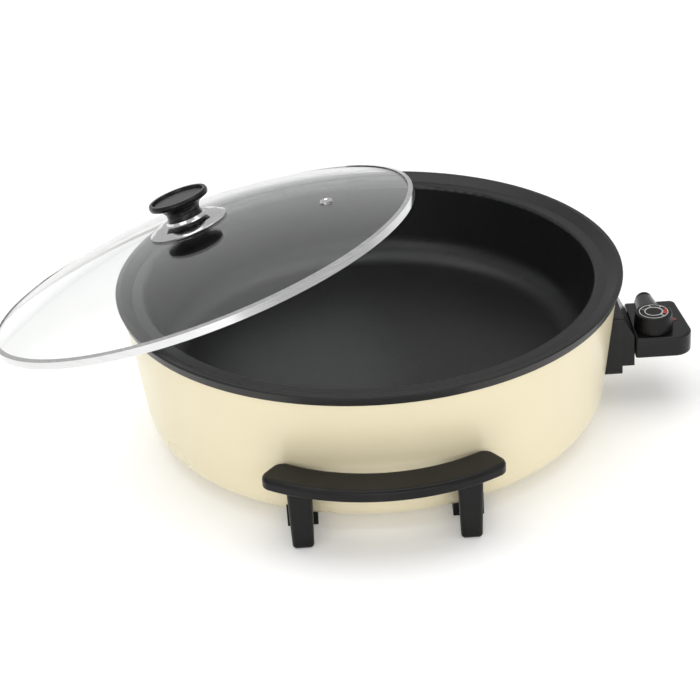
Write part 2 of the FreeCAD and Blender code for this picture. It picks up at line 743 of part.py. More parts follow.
def make_stand_screws():
    """Pan-head screws up through the toes into the shell, each with a nut inside."""
    low = s.arm_rise
    top = s.shell_bottom + s.shell_wall * 5
    pieces = []
    nuts = []
    for x, y in stand_screw_spots():
        shank = doc.addObject("Part::Cylinder", "stand_screw_shank")
        bind(shank, "Radius", s.screw_radius)
        bind(shank, "Height", top - low)
        place(shank, x, y, low)
        head = doc.addObject("Part::Cylinder", "stand_screw_head")
        bind(head, "Radius", s.screw_head)
        bind(head, "Height", s.screw_radius)
        place(head, x, y, low - s.screw_radius)
        screw = doc.addObject("Part::Fuse", "stand_screw_one")
        screw.Base = shank
        screw.Tool = head
        pieces.append(screw)
        block = doc.addObject("Part::Prism", "stand_nut_block")
        block.Polygon = 6
        bind(block, "Circumradius", s.screw_head)
        bind(block, "Height", s.screw_radius)
        place(block, x, y, s.shell_bottom + s.shell_wall * 2)
        bore = doc.addObject("Part::Cylinder", "stand_nut_bore")
        bind(bore, "Radius", s.screw_radius)
        bind(bore, "Height", s.screw_radius)
        place(bore, x, y, s.shell_bottom + s.shell_wall * 2)
        nut = doc.addObject("Part::Cut", "stand_nut_one")
        nut.Base = block
        nut.Tool = bore
        nuts.append(nut)
    grouped("stand_screws", pieces)
    grouped("stand_nuts", nuts)


def make_socket():
    """Moulded socket on the wall: tall flange, sloped roof, hollow block with holes for the pins."""
    body = new_body("socket_blank", kept=False)
    inner = shell_low_radius - s.shell_corner
    flange = outline(body, "XZ_Plane", rectangle(inner, s.socket_face, s.socket_low, s.socket_high))
    raise_up(body, flange, s.socket_half * 2, both=True)
    block = outline(body, "XZ_Plane", [
        (inner, s.block_low),
        (s.block_face, s.block_low),
        (s.block_face, s.control_high),
        (s.socket_face, s.socket_high),
        (inner, s.socket_high),
    ])
    raise_up(body, block, s.block_half * 2, both=True)

    def flange_corner(edge):
        box = edge.BoundBox
        level = abs(box.ZMax - box.ZMin) < 0.01 and abs(box.YMax - box.YMin) < 0.01
        outside = abs(abs(box.YMax) - number(s.socket_half)) < 0.01
        return level and outside and box.XLength > 5
    round_edges(body, flange_corner, s.block_wall)
    half = s.block_half - s.block_wall
    opening = rectangle(-half, half, s.block_low + s.block_wall, s.control_high - s.block_wall)
    mouth = outline(body, "YZ_Plane", opening, height=s.socket_base)
    cut_down(body, mouth, s.rim_radius, up=True)
    holes = circles(body, "YZ_Plane", pin_holes(s.screw_fit))
    cut_down(body, holes, s.rim_radius, up=True)
    return carved("socket_housing", body, shell_space)


def pin_spots():
    """Two power pins and the earth pin, across and up."""
    return [(-pin_spread, probe_height), (pin_spread, probe_height), (ZERO, probe_height + s.earth_rise)]


def pin_holes(play):
    rings = [(across, up, s.pin_radius + play) for across, up in pin_spots()]
    rings.append((ZERO, probe_height, s.sensor_radius + s.well_play + s.well_wall))
    return rings


def lying_tube(label, across, up, start, end, radius, bore=None):
    """A round bar or tube along X from start to end."""
    bar = doc.addObject("Part::Cylinder", label)
    bind(bar, "Radius", radius)
    bind(bar, "Height", end - start)
    place(bar, start, across, up, (ZERO, plain(1), ZERO), plain(90))
    if bore is None:
        return bar
    hole = doc.addObject("Part::Cylinder", label + "_bore")
    bind(hole, "Radius", bore)
    bind(hole, "Height", end - start)
    place(hole, start, across, up, (ZERO, plain(1), ZERO), plain(90))
    tube = doc.addObject("Part::Cut", label + "_tube")
    tube.Base = bar
    tube.Tool = hole
    return tube


def make_pins_and_well():
    pins = []
    for across, up in pin_spots():
        pins.append(lying_tube("pin", across, up, s.pin_root, s.pin_reach, s.pin_radius))
    grouped("terminal_pins", pins)
    bore = s.sensor_radius + s.well_play
    outside = bore + s.well_wall
    stop = s.sensor_reach - s.well_play
    tube = lying_tube("well_side", ZERO, probe_height, stop, s.socket_base, outside, bore)
    cap = lying_tube("well_cap", ZERO, probe_height, stop - s.well_wall, stop, outside)
    fused("sensor_well", [tube, cap])


def control_plan(inset=ZERO):
    """Outline of the control from above, moved inwards by an inset."""
    near = s.block_face + s.control_gap + inset
    return [
        (near, -s.control_front + inset),
        (s.control_end - inset, -s.control_front + inset),
        (s.control_end - s.control_slant - inset, s.control_back - inset),
        (near, s.control_back - inset),
    ]


def nose_top():
    return s.control_high - s.block_wall - s.control_gap


def corner_edge(x, y):
    """Test for an upright edge near a point of the plan."""
    def wanted(edge):
        box = edge.BoundBox
        near = math.hypot(box.Center.x - number(x), box.Center.y - number(y)) < 1.5
        return upright(edge) and near
    return wanted


def control_shell(label, low, high, open_up):
    """One half of the control: solid plan, rounded corners, hollowed from the parting line."""
    body = new_body(label)
    raise_up(body, outline(body, "XY_Plane", control_plan(), height=low), high - low)
    plan = control_plan()
    round_edges(body, corner_edge(*plan[1]), s.control_nose)
    round_edges(body, corner_edge(*plan[2]), s.control_corner)
    round_edges(body, corner_edge(*plan[0]), s.control_wall)
    round_edges(body, corner_edge(*plan[3]), s.control_wall)
    face = low if open_up else high
    round_edges(body, at_height(face), s.control_edge)
    hollow = outline(body, "XY_Plane", hollow_plan(), height=s.control_split)
    depth = (s.control_split - low if open_up else high - s.control_split) - s.control_wall
    cut_down(body, hollow, depth, up=not open_up)
    return body


def hollow_plan():
    """The control's inner space, kept clear of the large outer rounding."""
    near = s.block_face + s.control_gap + s.control_wall
    far = s.control_end - s.control_slant - s.control_wall * 1.5
    front = -s.control_front + s.control_wall
    back = s.control_back - s.control_wall * 2
    cut_corner = s.control_nose / 2
    cut = [(far - cut_corner, front), (far, front + cut_corner)]
    return [(near, front)] + cut + [(far, back), (near, back)]


def control_screw_spots():
    back = s.control_back - s.control_corner * 1.4
    far = s.control_end - s.control_slant * 2.2
    near = s.block_face + s.control_nose / 2
    front = -s.control_front + s.control_nose * 0.75
    return [(far, back), (near, back), (far, front)]


def add_bosses(body, low, length):
    """Screw bosses inside one half of the control."""
    boss = s.screw_head + s.screw_fit
    rings = [(x, y, boss) for x, y in control_screw_spots()]
    raise_up(body, circles(body, "XY_Plane", rings, height=low), length)


def make_control():
    lower = control_shell("control_lower_shell", s.control_low, s.control_split, open_up=True)
    upper = control_shell("control_upper_shell", s.control_split, s.control_high, open_up=False)
    lower_boss = s.control_low + s.control_edge
    add_bosses(lower, lower_boss, s.control_split - lower_boss)
    upper_boss = s.control_split + s.control_edge
    add_bosses(upper, upper_boss, s.control_high - s.control_edge - upper_boss)
    add_hump(upper)
    seat = circles(upper, "XZ_Plane", [(s.dial_x, s.control_high, s.gland_radius)])
    bind(seat, "AttachmentOffset.Base.z", -s.control_back - s.control_wall)
    cut_down(upper, seat, s.gland_length, up=True)
    openings = [
        (s.dial_x, s.dial_y, s.shaft_radius + s.shaft_fit),
        (s.lens_x, s.lens_y, s.lens_radius),
    ]
    top_holes = circles(upper, "XY_Plane", openings, height=s.control_split)
    cut_down(upper, top_holes, s.control_high, up=True)
    threads = [(x, y, s.screw_radius) for x, y in control_screw_spots()]
    thread_holes = circles(upper, "XY_Plane", threads, height=s.control_split)
    cut_down(upper, thread_holes, s.control_screw_grip, up=True)
    shanks = [(x, y, s.screw_radius + s.screw_fit) for x, y in control_screw_spots()]
    cut_down(lower, circles(lower, "XY_Plane", shanks), s.rim_height, up=True)
    sinks = [(x, y, s.control_screw_sink) for x, y in control_screw_spots()]
    cut_down(lower, circles(lower, "XY_Plane", sinks), s.control_low + s.control_wall, up=True)
    half = s.block_half - s.block_wall - s.control_gap
    inlet_low = probe_height + s.inlet_lift
    for body in (lower, upper):
        inlet = outline(body, "YZ_Plane", rectangle(-half, half, inlet_low, nose_top()))
        reach = s.block_face + s.control_gap + s.control_wall * 1.5
        cut_down(body, inlet, reach, up=True)


def add_hump(body):
    """Half-round hump on the upper shell for the cord, narrowing towards the back."""
    sketch = outline(body, "YZ_Plane", [
        (s.dial_y + s.dial_radius + s.hump_gap, s.hump_height),
        (s.control_back + s.control_wall, s.hump_height),
        (s.control_back + s.control_wall, s.hump_height + s.hump_small),
        (s.dial_y + s.dial_radius + s.hump_gap * 3, s.hump_height + s.hump_radius),
        (s.dial_y + s.dial_radius + s.hump_gap, s.hump_height + s.hump_radius / 2),
    ], height=s.dial_x)
    left = Vector(0, number(s.hump_height), 0)
    along = Vector(number(s.hump_radius), 0, 0)
    line = sketch.addGeometry(Part.LineSegment(left, left + along), True)
    rules = [("DistanceX", 1, ZERO), ("DistanceY", 1, s.hump_height)]
    rules += [("DistanceX", 2, s.hump_radius), ("DistanceY", 2, s.hump_height)]
    for kind, spot, size in rules:
        index = sketch.addConstraint(Sketcher.Constraint(kind, -1, 1, line, spot, number(size)))
        bind(sketch, "Constraints[%d]" % index, size)
    hump = body.newObject("PartDesign::Revolution", "cord_hump")
    hump.Profile = sketch
    hump.ReferenceAxis = (sketch, ["Axis0"])
    hump.Angle = 180.0
    hump.Midplane = True
    doc.recompute()
    return hump


def make_control_insides():
    """Contact block with its sleeves, the sensor tube, contact leaves, lamp and screws."""
    nose_end = s.block_face + s.control_gap + s.control_wall
    nose_start = s.socket_base + s.pan_wall + s.control_gap
    half = s.block_half - s.block_wall - s.control_gap
    block = new_body("contact_block")
    nose_low = s.block_low + s.block_wall + s.control_gap
    nose = rectangle(nose_start, s.block_face, -half, half)
    raise_up(block, outline(block, "XY_Plane", nose, height=nose_low), nose_top() - nose_low)
    tail_low = s.control_low + s.control_wall
    tail_end = s.dial_x + s.dial_radius / 2
    tail = rectangle(s.block_face - 1, tail_end, -half, half - s.dial_radius / 2)
    tail_base = tail_low + s.control_wall
    tail_high = nose_top() - tail_base - s.control_wall
    raise_up(block, outline(block, "XY_Plane", tail, height=tail_base), tail_high)
    legs = rectangle(nose_end + 1, tail_end, -half / 2, half / 4)
    raise_up(block, outline(block, "XY_Plane", legs, height=tail_low), s.control_wall * 2)
    sleeve = s.pin_radius + s.sleeve_play + s.sleeve_wall
    holes = [(across, up, sleeve) for across, up in pin_spots()]
    holes.append((ZERO, probe_height, s.sensor_radius))
    bores = circles(block, "YZ_Plane", holes, height=nose_start - 1)
    cut_down(block, bores, s.block_face - nose_start, up=True)
    spindle = [(s.dial_x, s.dial_y, s.shaft_radius + s.shaft_fit)]
    cut_down(block, circles(block, "XY_Plane", spindle, height=s.control_split), s.control_high, up=True)
    sleeves = []
    sleeve_end = s.block_face - 1
    pin_bore = s.pin_radius + s.sleeve_play
    for across, up in pin_spots():
        sleeves.append(lying_tube("sleeve", across, up, nose_start, sleeve_end, sleeve, pin_bore))
    grouped("contact_sleeves", sleeves)
    probe = lying_tube("sensor_tube", ZERO, probe_height, s.sensor_reach, sleeve_end, s.sensor_radius)
    probe.Label = "sensor_tube"
    parts.append(probe)
    leaf_low = nose_top() - s.control_wall
    leaves = []
    for place_y in (s.control_wall * 2, s.control_wall * 4.5):
        leaf = doc.addObject("Part::Box", "contact_leaf")
        bind(leaf, "Length", s.dial_radius * 1.2)
        bind(leaf, "Width", s.control_wall * 2)
        bind(leaf, "Height", s.sleeve_wall / 2)
        place(leaf, s.dial_x - s.dial_radius * 0.7, place_y - s.control_wall, leaf_low)
        leaves.append(leaf)
    grouped("contact_leaves", leaves)
    lamp_low = s.control_low + s.control_wall
    lens_low = s.control_high - s.control_wall * 2
    rods("indicator_lamp", [(s.lens_x, s.lens_y)], s.lens_radius * 0.85, lamp_low, lens_low)
    lens_high = s.control_high + s.sleeve_wall / 2
    rods("indicator_lens", [(s.lens_x, s.lens_y)], s.lens_radius, lens_low, lens_high)
    screws = []
    for x, y in control_screw_spots():
        head_top = s.control_low + s.control_wall
        shank = doc.addObject("Part::Cylinder", "control_screw_shank")
        bind(shank, "Radius", s.screw_radius)
        bind(shank, "Height", s.control_split + s.control_screw_grip - head_top)
        place(shank, x, y, head_top)
        head = doc.addObject("Part::Cylinder", "control_screw_head")
        bind(head, "Radius", s.control_screw_head)
        bind(head, "Height", s.control_edge)
        place(head, x, y, head_top - s.control_edge)
        screw = doc.addObject("Part::Fuse", "control_screw_one")
        screw.Base = shank
        screw.Tool = head
        screws.append(screw)
    grouped("control_screws", screws)
    gland = new_body("cord_gland")
    flange = s.gland_radius + s.control_wall * 0.7
    tip = s.gland_length * 1.5
    turn(gland, [
        (s.gland_bore, ZERO),
        (s.gland_radius, ZERO),
        (s.gland_radius, s.gland_length),
        (flange, s.gland_length),
        (flange, s.gland_length + s.control_wall),
        (s.gland_radius - 1, tip),
        (s.gland_bore, tip),
    ])
    seat = s.control_back + s.control_wall - s.gland_length
    place(gland, s.dial_x, seat, s.control_high, (plain(1), ZERO, ZERO), plain(-90))


def make_dial():
    """Fluted knob with a skirt, its printed face and the spindle it turns."""
    knob = new_body("dial_knob")
    low = s.control_high + s.dial_play
    high = s.control_high + s.dial_height
    skirt_top = low + s.dial_skirt
    turn(knob, [
        (ZERO, low),
        (s.dial_radius, low),
        (s.dial_radius, skirt_top),
        (s.dial_top_radius, high),
        (ZERO, high),
    ])
    round_edges(knob, ring_edge(s.dial_top_radius, high), s.lip_round)
    flute_circle = s.dial_radius + s.dial_rib / 2
    flutes = [(x, y, s.dial_rib) for x, y in on_circle(s.dial_rib_count, flute_circle, 0.5)]
    cut_down(knob, circles(knob, "XY_Plane", flutes, height=skirt_top), s.dial_height, up=True)
    face_room = [(ZERO, ZERO, s.face_radius + s.screw_fit)]
    recess = circles(knob, "XY_Plane", face_room, height=high - s.face_thick)
    cut_down(knob, recess, s.dial_height, up=True)
    bore_top = high - s.face_thick - s.control_wall
    shaft_room = [(ZERO, ZERO, s.shaft_radius + s.shaft_seat)]
    bore = circles(knob, "XY_Plane", shaft_room, height=bore_top)
    cut_down(knob, bore, s.dial_height)
    place(knob, s.dial_x, s.dial_y)
    rods("dial_face", [(s.dial_x, s.dial_y)], s.face_radius, high - s.face_thick, high)
    rods("dial_spindle", [(s.dial_x, s.dial_y)], s.shaft_radius, s.control_split + s.screw_fit, bore_top)


# The glass is part of a sphere in the lid's own frame
glass_edge = s.lid_radius - s.lid_sheet - s.glass_play
glass_side = s.lid_band - s.lid_sheet - s.glass_play
cap_rise = s.glass_rise - glass_side
sphere = (glass_edge * glass_edge + cap_rise * cap_rise) / (cap_rise * 2)
sphere_middle = s.glass_rise - sphere


def dome_at(reach, inside=False):
    """Height of the glass's top, or of its underside, at a distance from the lid's middle."""
    radius = sphere - s.glass_thick if inside else sphere
    return sphere_middle + root(radius * radius - reach * reach)


def lid_height_on_band(lean_angle):
    """Height of the lid's middle when its band lies on the rim where the two circles cross."""
    turned = math.radians(lean_angle)
    shift = number(s.lid_shift)
    rim = number(s.rim_radius - s.lip_round)
    ring = number(s.lid_radius - s.lid_hem + s.lid_sheet * 2)
    stretch = 1 / math.cos(turned) ** 2
    rest = stretch * shift ** 2 + rim ** 2 - ring ** 2
    crossing = stretch * shift - math.sqrt((stretch * shift) ** 2 - (stretch - 1) * rest)
    crossing /= stretch - 1
    drop = number(s.lid_rest) + (crossing - shift) * math.sin(turned)
    return number(s.rim_height) + drop / math.cos(turned)


def lid_height_on_glass(lean_angle):
    """Height of the lid's middle when the underside of its glass lies on the rim's rounding."""
    turned = math.radians(lean_angle)
    reach = number(sphere - s.glass_thick - s.lid_rest - s.lip_round)
    middle = number(sphere_middle)
    across = number(s.rim_radius - s.lip_round - s.lid_shift) - middle * math.sin(turned)
    up = math.sqrt(reach ** 2 - across ** 2)
    return number(s.rim_height - s.lip_round) - middle * math.cos(turned) - up


def settle_lid(low=2.0, high=40.0, steps=50):
    """Lean and height at which band and glass touch the rim together, by halving a span of angles."""
    for _ in range(steps):
        middle = (low + high) / 2
        if lid_height_on_band(middle) > lid_height_on_glass(middle):
            low = middle
        else:
            high = middle
    return plain(low), plain(lid_height_on_band(low))


lid_lean, lid_height = settle_lid()


def lean(obj):
    """Set a lid piece in the leaning pose: shifted off the pan and tipped the same way."""
    axis = (-sine(s.lid_toward), cosine(s.lid_toward), ZERO)
    x = s.lid_shift * cosine(s.lid_toward)
    y = s.lid_shift * sine(s.lid_toward)
    place(obj, x, y, lid_height, axis, lid_lean)


def make_lid():
    glass = new_body("lid_glass")
    hole = s.bolt_radius + s.bolt_play
    dome = arc_band(glass, "XZ_Plane", sphere_middle, (sphere, sphere - s.glass_thick),
                    [glass_edge, glass_edge], [hole, hole], 1)
    turned = glass.newObject("PartDesign::Revolution", "glass_turned")
    turned.Profile = dome
    turned.ReferenceAxis = (dome, ["V_Axis"])
    turned.Angle = 360.0
    doc.recompute()
    vent_x = s.vent_reach * cosine(s.vent_angle)
    vent_y = s.vent_reach * sine(s.vent_angle)
    tube = s.vent_hole + s.lid_sheet
    vent = circles(glass, "XY_Plane", [(vent_x, vent_y, tube * 1.25)])
    cut_down(glass, vent, s.glass_rise * 2, up=True)
    lean(glass)

    band = new_body("lid_band")
    slope = glass_edge / root(sphere * sphere - glass_edge * glass_edge)
    inner = s.lid_radius - s.lid_sheet
    hem = s.lid_radius - s.lid_hem
    turn(band, [
        (s.lid_radius, ZERO),
        (s.lid_radius, s.lid_band),
        (hem, s.lid_band + slope * s.lid_hem),
        (hem, s.lid_band + slope * s.lid_hem - s.lid_sheet),
        (inner, s.lid_band - s.lid_sheet),
        (inner, s.lid_sheet),
        (hem + s.lid_sheet * 2, s.lid_sheet),
        (hem + s.lid_sheet * 2, ZERO),
    ])
    lean(band)

    vent = new_body("vent_grommet")
    half = s.glass_thick / 2 + s.glass_play
    throat = s.vent_hole * 0.6
    bead_top = half + s.lid_sheet * 1.5
    turn(vent, [
        (throat, -half - s.lid_sheet),
        (s.vent_flange, -half - s.lid_sheet),
        (s.vent_flange, -half),
        (tube, -half),
        (tube, half),
        (s.vent_flange, half),
        (s.vent_flange - s.lid_sheet, bead_top),
        (s.vent_hole, bead_top),
        (throat, half),
    ])
    middle = sphere - s.glass_thick / 2
    tip = math.degrees(math.asin(number(s.vent_reach) / number(middle)))
    spin = FreeCAD.Rotation(Vector(0, 0, 1), number(s.vent_angle))
    tilt = FreeCAD.Rotation(Vector(0, 1, 0), tip)
    height = sphere_middle + root(middle * middle - s.vent_reach * s.vent_reach)
    spot = Vector(number(vent_x), number(vent_y), number(height))
    vent.Placement = band.Placement.multiply(FreeCAD.Placement(spot, spin.multiply(tilt)))

    plate = new_body("knob_base_plate")
    rest = dome_at(s.knob_base_radius) + s.glass_play
    plate_top = s.glass_rise + s.knob_base_height
    turn(plate, [
        (hole, s.glass_rise + s.lid_sheet),
        (s.knob_base_radius - s.lid_hem, s.glass_rise + s.lid_sheet),
        (s.knob_base_radius - s.lid_sheet, rest),
        (s.knob_base_radius, rest),
        (s.knob_base_radius, rest + s.lid_sheet),
        (s.knob_base_radius * 0.82, plate_top - s.ring_height),
        (s.ring_radius + s.lid_hem, plate_top),
        (hole, plate_top),
    ])
    lean(plate)

    ring = new_body("knob_ring")
    ring_top = plate_top + s.ring_height
    turn(ring, [
        (hole, plate_top),
        (s.ring_radius, plate_top),
        (s.ring_radius - s.lid_sheet, ring_top),
        (hole, ring_top),
    ])
    lean(ring)

    knob = new_body("lid_knob")
    top = plate_top + s.knob_height
    rise = top - ring_top
    bore_top = ring_top + rise * 0.55
    dish = s.knob_radius - s.lid_hem
    turn(knob, [
        (ZERO, bore_top),
        (s.bolt_radius + s.shaft_seat, bore_top),
        (s.bolt_radius + s.shaft_seat, ring_top),
        (s.knob_neck + s.lid_sheet * 2, ring_top),
        (s.knob_neck, ring_top + rise * 0.3),
        (s.knob_neck + s.lid_hem, ring_top + rise * 0.55),
        (s.knob_radius - s.lid_sheet, ring_top + rise * 0.75),
        (s.knob_radius, top - s.ring_height),
        (s.knob_radius - s.ring_height / 2, top),
        (dish, top),
        (dish - s.lid_sheet, top - s.knob_dish),
        (ZERO, top - s.knob_dish),
    ])
    round_edges(knob, ring_edge(s.knob_neck, ring_top + rise * 0.3), s.knob_neck / 2)
    round_edges(knob, ring_edge(s.knob_radius, top - s.ring_height), s.lip_round)
    round_edges(knob, ring_edge(s.knob_radius - s.ring_height / 2, top), s.lip_round / 2)
    lean(knob)

    cap = new_body("knob_cap")
    cap_radius = dish - s.lid_sheet - s.screw_fit
    cap_low = top - s.knob_dish
    cap_top = cap_low + s.lid_sheet * 2
    turn(cap, [
        (ZERO, cap_low),
        (cap_radius, cap_low),
        (cap_radius - s.lid_sheet, cap_top),
        (ZERO, cap_top),
    ])
    lean(cap)

    washer = new_body("lid_washer")
    washer_top = dome_at(s.washer_radius, inside=True)
    washer_low = washer_top - s.washer_thick
    turn(washer, rectangle(hole, s.washer_radius, washer_low, washer_top))
    lean(washer)

    bolt = new_body("lid_bolt")
    head = s.bolt_radius * 2.2
    head_low = washer_low - s.bolt_radius
    turn(bolt, [
        (ZERO, head_low),
        (head * 0.8, head_low),
        (head, head_low + s.bolt_radius / 2),
        (head, washer_low),
        (s.bolt_radius, washer_low),
        (s.bolt_radius, bore_top),
        (ZERO, bore_top),
    ])
    lean(bolt)


def check_and_write():
    """Stop on any failed object, then write every piece under its own name."""
    doc.recompute()
    for obj in doc.Objects:
        if "Invalid" in obj.State or "Error" in obj.State:
            raise RuntimeError("failed object: " + obj.Name)
    os.makedirs("parts", exist_ok=True)
    for piece in parts:
        shape = piece.Shape
        if shape.isNull() or not shape.isValid() or not shape.Solids:
            raise RuntimeError("bad shape: " + piece.Label)
        shape.exportStep(os.path.join("parts", piece.Label + ".step"))
        print("%-22s solids %d volume %.0f" % (piece.Label, len(shape.Solids), shape.Volume))


make_pan()
make_shell()
shell_space = make_shell_space()
make_base_plate()
make_heater()
make_clamp_plate()
make_studs_and_nuts()
make_stand("front_handle_stand", 0)
make_stand("rear_handle_stand", 180)
make_stand_screws()
make_socket()
make_pins_and_well()
make_control()
make_control_insides()
make_dial()
make_lid()
check_and_write()
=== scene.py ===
import json
import math

import bmesh
import bpy
from mathutils import Matrix, Vector


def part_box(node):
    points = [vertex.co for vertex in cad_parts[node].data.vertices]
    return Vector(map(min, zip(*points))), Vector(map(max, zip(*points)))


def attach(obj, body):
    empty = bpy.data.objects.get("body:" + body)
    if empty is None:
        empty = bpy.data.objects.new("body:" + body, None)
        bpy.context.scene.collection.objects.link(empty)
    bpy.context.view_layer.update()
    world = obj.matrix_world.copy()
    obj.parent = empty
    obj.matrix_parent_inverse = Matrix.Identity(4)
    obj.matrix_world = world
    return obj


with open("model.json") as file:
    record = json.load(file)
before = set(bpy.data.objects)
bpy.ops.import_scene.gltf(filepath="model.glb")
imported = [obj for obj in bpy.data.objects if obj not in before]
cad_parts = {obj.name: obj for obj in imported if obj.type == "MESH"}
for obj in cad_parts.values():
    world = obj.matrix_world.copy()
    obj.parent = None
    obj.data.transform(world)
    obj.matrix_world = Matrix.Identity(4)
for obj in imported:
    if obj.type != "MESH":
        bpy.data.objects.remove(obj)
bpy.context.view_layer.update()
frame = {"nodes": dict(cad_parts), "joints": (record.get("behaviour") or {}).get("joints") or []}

# Dressing of a round electric skillet: satin cream wall, black non-stick pan, satin black
# stands and heat control, a clear domed lid with a steel band, and the small parts on them.
# Metres, +Z up, +X towards the heat control, -Y the front.

nodes = frame["nodes"]
joints = {joint["name"]: joint for joint in frame["joints"]}

# Photograph's view
FRAME_PIXELS = 700
PIXELS_PER_METRE = 1260.0
FOCAL_PIXELS = 2000.0
ELEVATION = math.radians(28.4)
ROLL = math.radians(3.63)
OFFSET_RIGHT = 23.8
OFFSET_UP = 67.3
REFERENCE = Vector((0.0, 0.0, 0.1165))

# A little light from the floor itself keeps its shadow pale and the rest white
FLOOR_GLOW = 0.16
GLOW_STARTS = 0.5
GLOW_FULL = 1.3

# Radius that a moulded edge seems to have in the light
EDGE_RADIUS = 0.0009


def new_material(name):
    material = bpy.data.materials.new(name)
    material.use_nodes = True
    tree = material.node_tree
    return material, tree, tree.nodes["Principled BSDF"]


def texture(tree, kind, **settings):
    """A texture node read on Object coordinates."""
    node = tree.nodes.new(kind)
    where = tree.nodes.new("ShaderNodeTexCoord")
    tree.links.new(where.outputs["Object"], node.inputs["Vector"])
    for name, value in settings.items():
        node.inputs[name].default_value = value
    return node


def ramp(tree, source, low, high, stops):
    """Map a value through a colour ramp; stops are the two grey or colour ends."""
    node = tree.nodes.new("ShaderNodeValToRGB")
    node.color_ramp.elements[0].position = low
    node.color_ramp.elements[1].position = high
    for element, colour in zip(node.color_ramp.elements, stops):
        element.color = (*colour, 1.0)
    tree.links.new(source, node.inputs["Fac"])
    return node


def spread(tree, source, low, high):
    """Map a 0-to-1 texture value to a range."""
    node = tree.nodes.new("ShaderNodeMapRange")
    node.inputs["To Min"].default_value = low
    node.inputs["To Max"].default_value = high
    tree.links.new(source, node.inputs["Value"])
    return node.outputs["Result"]


def bump(tree, shader, source, strength, distance, under=None):
    node = tree.nodes.new("ShaderNodeBump")
    node.inputs["Strength"].default_value = strength
    node.inputs["Distance"].default_value = distance
    tree.links.new(source, node.inputs["Height"])
    if under is not None:
        tree.links.new(under.outputs["Normal"], node.inputs["Normal"])
    tree.links.new(node.outputs["Normal"], shader.inputs["Normal"])
    return node


def soft_edge(tree, radius):
    """The small radius that moulding leaves on a sharp edge, as it catches the light."""
    node = tree.nodes.new("ShaderNodeBevel")
    node.samples = 4
    node.inputs["Radius"].default_value = radius
    return node


def cream_paint():
    """Baked enamel on sheet: a warm cream with a very faint mottling and orange peel."""
    material, tree, shader = new_material("cream_enamel")
    cloud = texture(tree, "ShaderNodeTexNoise", Scale=9.0, Detail=3.0)
    shades = ((0.77, 0.685, 0.46), (0.835, 0.75, 0.525))
    tint = ramp(tree, cloud.outputs["Fac"], 0.05, 0.95, shades)
    tree.links.new(tint.outputs["Color"], shader.inputs["Base Color"])
    shader.inputs["Coat Weight"].default_value = 0.3
    shader.inputs["Coat Roughness"].default_value = 0.22
    fine = texture(tree, "ShaderNodeTexNoise", Scale=260.0, Detail=2.0)
    tree.links.new(spread(tree, cloud.outputs["Fac"], 0.24, 0.34), shader.inputs["Roughness"])
    bump(tree, shader, fine.outputs["Fac"], 0.08, 0.0002)
    return material


def non_stick():
    """Black non-stick coating: dark grey, lightly stippled, with tiny pale flecks."""
    material, tree, shader = new_material("non_stick_coating")
    flecks = texture(tree, "ShaderNodeTexVoronoi", Scale=520.0)
    shades = ((0.05, 0.05, 0.052), (0.0085, 0.0085, 0.009))
    spots = ramp(tree, flecks.outputs["Distance"], 0.06, 0.16, shades)
    tree.links.new(spots.outputs["Color"], shader.inputs["Base Color"])
    cloud = texture(tree, "ShaderNodeTexNoise", Scale=14.0, Detail=4.0)
    tree.links.new(spread(tree, cloud.outputs["Fac"], 0.3, 0.42), shader.inputs["Roughness"])
    shader.inputs["Specular IOR Level"].default_value = 0.34
    grain = texture(tree, "ShaderNodeTexNoise", Scale=900.0, Detail=3.0)
    bump(tree, shader, grain.outputs["Fac"], 0.35, 0.0003)
    return material


def moulded_black(name, colour, rough, grain_scale=1400.0, strength=0.25, coat=0.0, shine=0.22):
    """Injection-moulded plastic or rubber with a fine spark-eroded grain."""
    material, tree, shader = new_material(name)
    cloud = texture(tree, "ShaderNodeTexNoise", Scale=30.0, Detail=3.0)
    lighter = tuple(min(1.0, part * 1.35 + 0.002) for part in colour)
    tint = ramp(tree, cloud.outputs["Fac"], 0.35, 0.65, (colour, lighter))
    tree.links.new(tint.outputs["Color"], shader.inputs["Base Color"])
    gloss = spread(tree, cloud.outputs["Fac"], rough - 0.04, rough + 0.05)
    tree.links.new(gloss, shader.inputs["Roughness"])
    shader.inputs["Coat Weight"].default_value = coat
    shader.inputs["Coat Roughness"].default_value = 0.1
    shader.inputs["Specular IOR Level"].default_value = shine
    grain = texture(tree, "ShaderNodeTexNoise", Scale=grain_scale, Detail=2.0)
    edge = soft_edge(tree, EDGE_RADIUS)
    bump(tree, shader, grain.outputs["Fac"], strength, 0.0002, under=edge)
    return material


def steel(name, colour, rough, stretch=(1.0, 1.0, 40.0), strength=0.08):
    """Metal with a fine brushed or rolled line and slight changes of gloss."""
    material, tree, shader = new_material(name)
    where = tree.nodes.new("ShaderNodeTexCoord")
    mapping = tree.nodes.new("ShaderNodeMapping")
    mapping.inputs["Scale"].default_value = stretch
    tree.links.new(where.outputs["Object"], mapping.inputs["Vector"])
    lines = tree.nodes.new("ShaderNodeTexNoise")
    lines.inputs["Scale"].default_value = 60.0
    lines.inputs["Detail"].default_value = 3.0
    tree.links.new(mapping.outputs["Vector"], lines.inputs["Vector"])
    shader.inputs["Metallic"].default_value = 1.0
    darker = tuple(part * 0.9 for part in colour)
    tint = ramp(tree, lines.outputs["Fac"], 0.35, 0.65, (darker, colour))
    tree.links.new(tint.outputs["Color"], shader.inputs["Base Color"])
    gloss = spread(tree, lines.outputs["Fac"], rough * 0.8, rough * 1.3)
    tree.links.new(gloss, shader.inputs["Roughness"])
    bump(tree, shader, lines.outputs["Fac"], strength, 0.0001)
    return material


